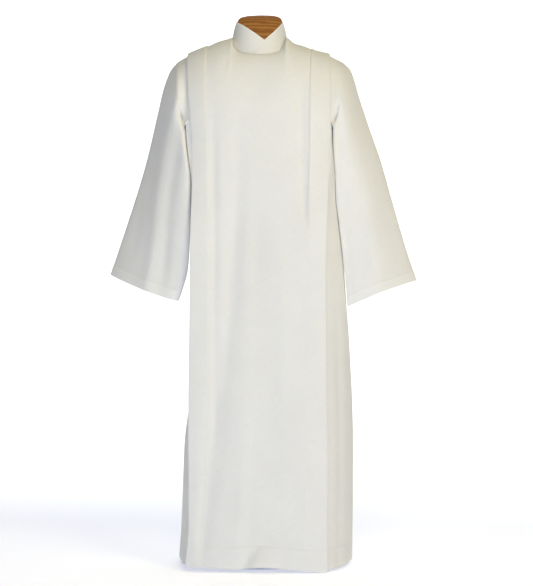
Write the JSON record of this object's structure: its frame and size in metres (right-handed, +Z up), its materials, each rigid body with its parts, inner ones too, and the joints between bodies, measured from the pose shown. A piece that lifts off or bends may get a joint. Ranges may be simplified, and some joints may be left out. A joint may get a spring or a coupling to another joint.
{
  "type": "alb robe on dress form",
  "caption": "Long white bell-sleeved vestment robe with box pleats and a crossed stand collar, on a limbless dress form with a wooden neck cap and round base.",
  "frame": {"origin": "middle of the stand base's flat underside, on the floor", "axes": "+Z up, the robe faces -Y, the wearer's left is +X"},
  "size_m": [0.836, 0.3467, 1.5029],
  "materials": {
    "linen": "matte",
    "form_cover": "matte",
    "wood": "satin",
    "stand_paint": "satin"
  },
  "bodies": {
    "root": {"front_panel": "linen", "back_panel": "linen", "side_left": "linen", "side_right": "linen", "pleat_front_left": "linen", "pleat_front_right": "linen", "pleat_back_left": "linen", "pleat_back_right": "linen", "sleeve_left": "linen", "sleeve_right": "linen", "collar": "linen", "form_torso": "form_cover", "form_neck_cap": "wood", "stand_pole": "stand_paint", "stand_base": "stand_paint"}
  },
  "joints": []
}
